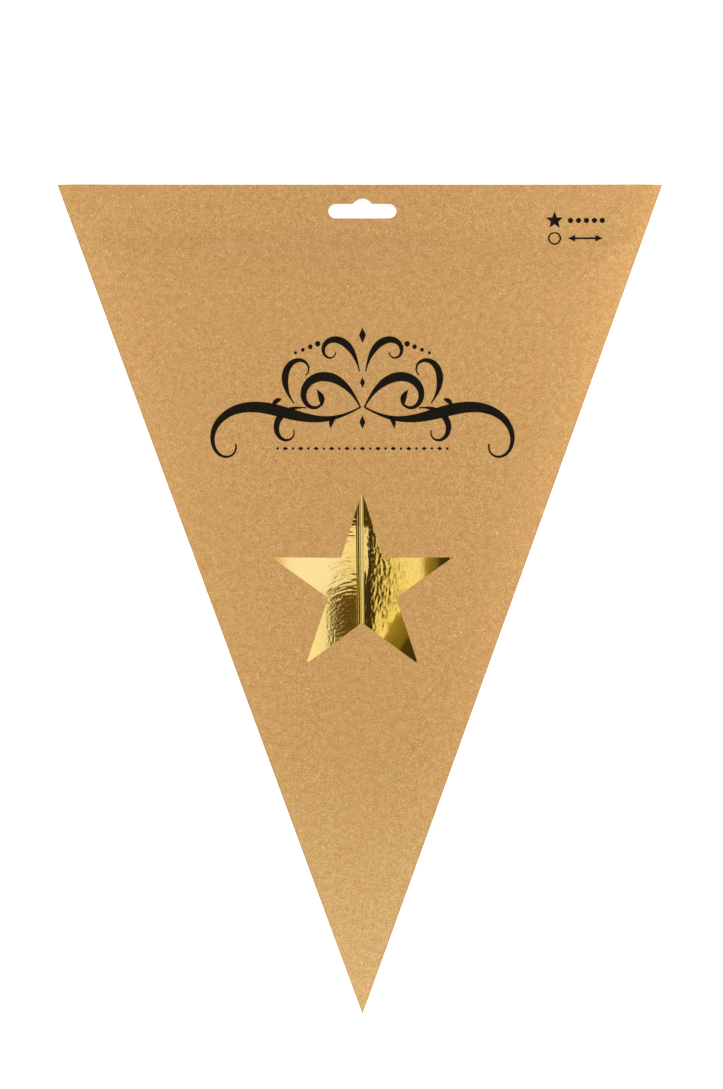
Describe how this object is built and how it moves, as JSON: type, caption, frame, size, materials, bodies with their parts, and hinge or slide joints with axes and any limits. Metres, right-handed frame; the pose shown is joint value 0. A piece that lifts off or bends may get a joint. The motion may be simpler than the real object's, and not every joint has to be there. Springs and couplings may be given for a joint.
{
  "type": "folded paper star in card sleeve",
  "caption": "Flat-folded gold foil paper star in a triangular kraft card sleeve with a star window and a hang slot.",
  "frame": {"origin": "under the middle of the pack, on the surface it lies on", "axes": "+Z from the back panel to the front panel, +Y from the sleeve's point to its hanging edge, +X to the right as the front is seen"},
  "size_m": [0.283, 0.388, 0.0065],
  "materials": {
    "kraft_card": "matte",
    "gold_foil_card": "gloss"
  },
  "bodies": {
    "root": {"kraft_sleeve": "kraft_card", "star_point_1_front": "gold_foil_card", "star_point_1_back": "gold_foil_card", "star_point_2_front": "gold_foil_card", "star_point_2_back": "gold_foil_card", "star_point_3_front": "gold_foil_card", "star_point_3_back": "gold_foil_card", "star_point_4_front": "gold_foil_card", "star_point_4_back": "gold_foil_card", "star_point_5_front": "gold_foil_card", "star_point_5_back": "gold_foil_card"}
  },
  "joints": []
}
